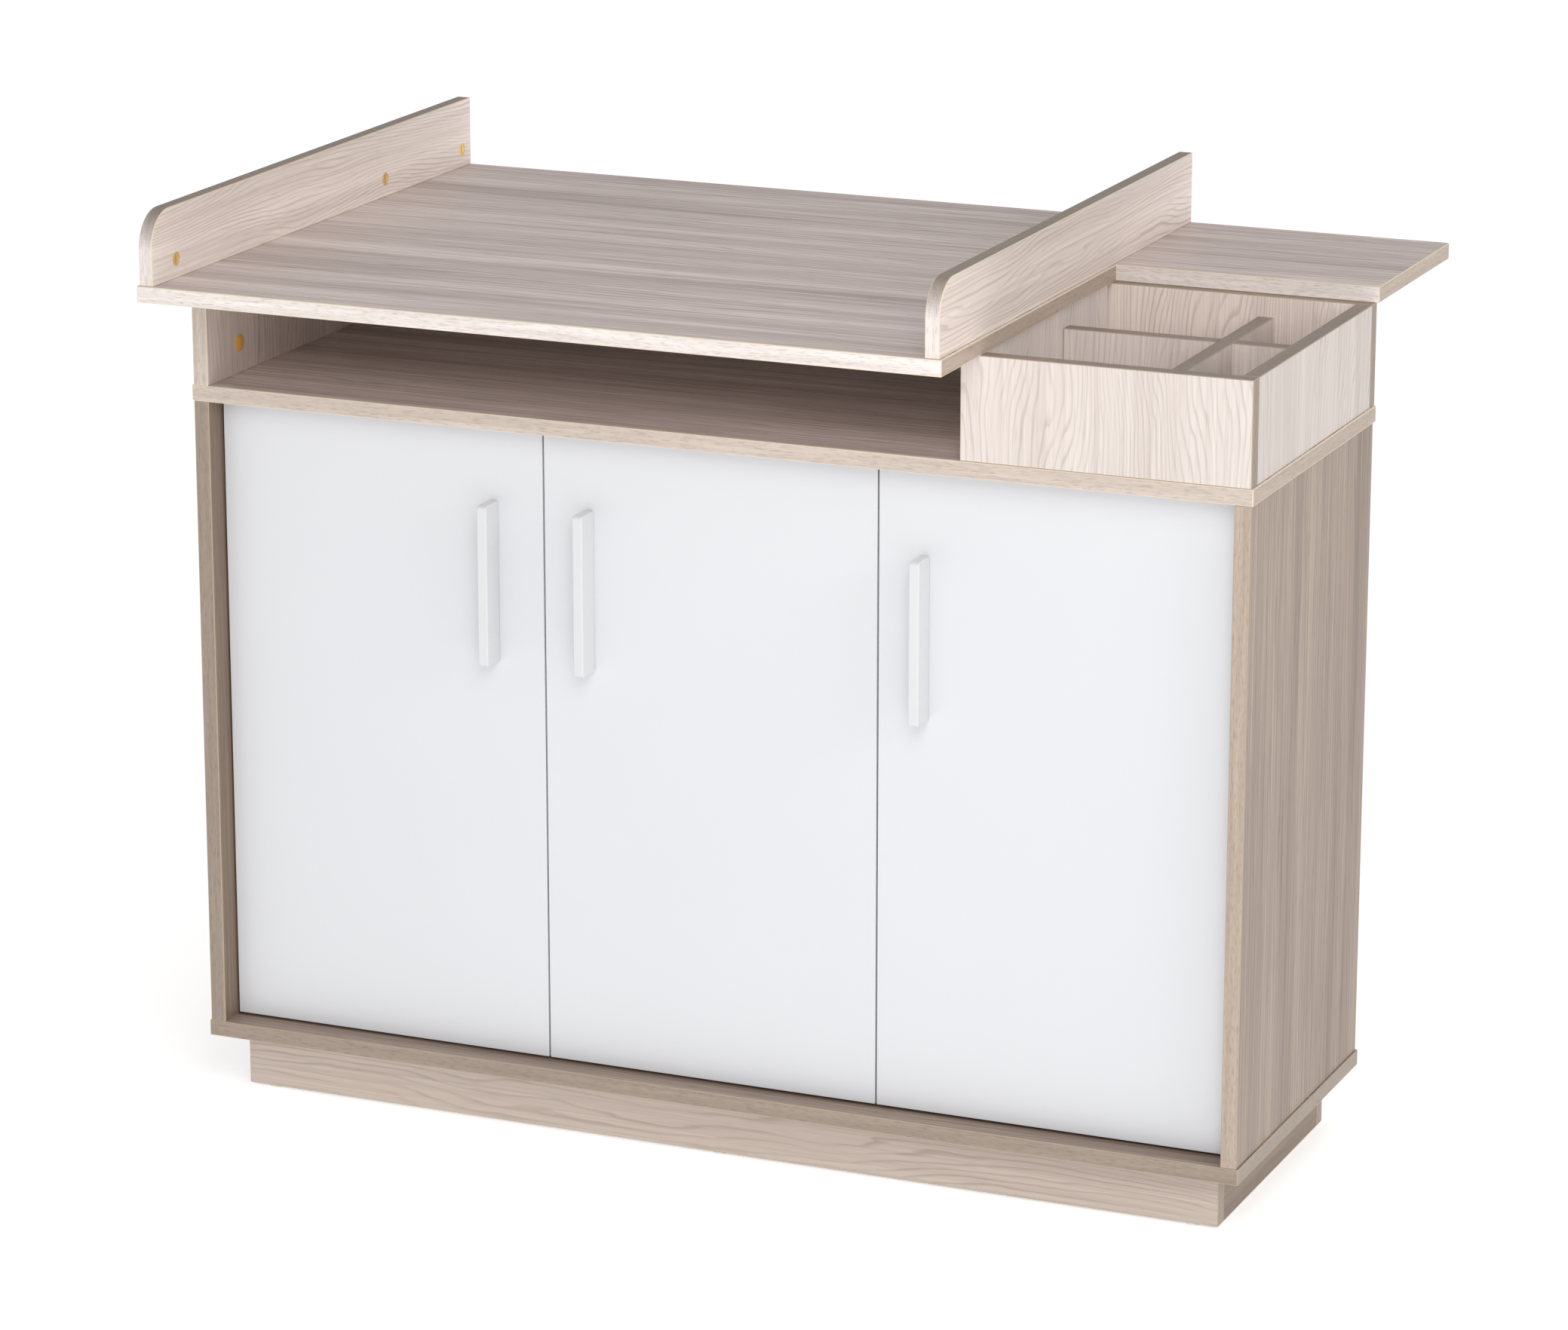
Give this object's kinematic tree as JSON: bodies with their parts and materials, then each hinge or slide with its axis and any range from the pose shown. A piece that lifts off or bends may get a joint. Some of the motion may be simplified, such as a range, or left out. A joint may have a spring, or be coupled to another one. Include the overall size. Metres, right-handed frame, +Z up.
{
  "type": "changing table",
  "caption": "Wide changing table cabinet with inset white doors, an open bay, an organiser box and an L-shaped changing top with low upstands.",
  "frame": {"origin": "on the floor, under the middle of the top's length and depth", "axes": "+Z up; +X along the cabinet towards the organiser; +Y from the doors to the back"},
  "size_m": [1.23, 0.778, 1.0325],
  "materials": {
    "elm_laminate": "melamine faced chipboard with a grey-beige elm print, semi-matt",
    "white_laminate": "smooth white melamine, satin",
    "handle_white": "moulded, satin white",
    "hinge_nickel": "nickel plated",
    "zinc_steel": "zinc plated",
    "cam_yellow": "yellow passivated zinc",
    "cap_ochre": "moulded, matt",
    "glide_plastic": "moulded, matt",
    "bumper_clear": "clear soft bumper",
    "beech_dowel": "raw fluted beech",
    "white_hardboard": "white lacquered hardboard"
  },
  "bodies": {
    "cabinet": {"back_nails": "zinc_steel", "back_panel_left": "white_hardboard", "back_panel_right": "white_hardboard", "bay_back_rail": "elm_laminate", "bay_cam_bolts": "zinc_steel", "bay_cams": "cam_yellow", "bay_support_left": "elm_laminate", "bottom_board": "elm_laminate", "carcass_cam_bolts": "zinc_steel", "carcass_cams": "cam_yellow", "changing_top": "elm_laminate", "cover_caps": "cap_ochre", "divider_cross": "elm_laminate", "divider_long": "elm_laminate", "door_stop": "glide_plastic", "floor_glides": "glide_plastic", "hinge_arms": "hinge_nickel", "hinge_plates": "hinge_nickel", "middle_board": "elm_laminate", "organiser_back": "elm_laminate", "organiser_front": "elm_laminate", "organiser_left": "elm_laminate", "organiser_right": "elm_laminate", "partition": "elm_laminate", "plinth_back": "elm_laminate", "plinth_brackets": "zinc_steel", "plinth_front": "elm_laminate", "plinth_rail": "elm_laminate", "plinth_side_left": "elm_laminate", "plinth_side_right": "elm_laminate", "shelf_left": "elm_laminate", "shelf_pins": "zinc_steel", "shelf_right": "elm_laminate", "side_panel_left": "elm_laminate", "side_panel_right": "elm_laminate", "upstand_cam_bolts": "zinc_steel", "upstand_cams": "cam_yellow", "upstand_left": "elm_laminate", "upstand_right": "elm_laminate", "wood_dowels": "beech_dowel"},
    "door_left": {"door_left_bumpers": "bumper_clear", "door_left_handle": "handle_white", "door_left_handle_screws": "zinc_steel", "door_left_hinge_cups": "hinge_nickel", "door_left_panel": "white_laminate"},
    "door_middle": {"door_middle_bumpers": "bumper_clear", "door_middle_handle": "handle_white", "door_middle_handle_screws": "zinc_steel", "door_middle_hinge_cups": "hinge_nickel", "door_middle_panel": "white_laminate"},
    "door_right": {"door_right_bumpers": "bumper_clear", "door_right_handle": "handle_white", "door_right_handle_screws": "zinc_steel", "door_right_hinge_cups": "hinge_nickel", "door_right_panel": "white_laminate"}
  },
  "joints": [
    {"name": "door_left_hinge", "type": "hinge", "parent": "cabinet", "child": "door_left", "pos_m": [-0.589, -0.247, 0.443], "axis": [0, 0, -1], "range_deg": [0, 95]},
    {"name": "door_middle_hinge", "type": "hinge", "parent": "cabinet", "child": "door_middle", "pos_m": [0.186, -0.247, 0.443], "axis": [0, 0, 1], "range_deg": [0, 110]},
    {"name": "door_right_hinge", "type": "hinge", "parent": "cabinet", "child": "door_right", "pos_m": [0.589, -0.247, 0.443], "axis": [0, 0, 1], "range_deg": [0, 95]}
  ]
}
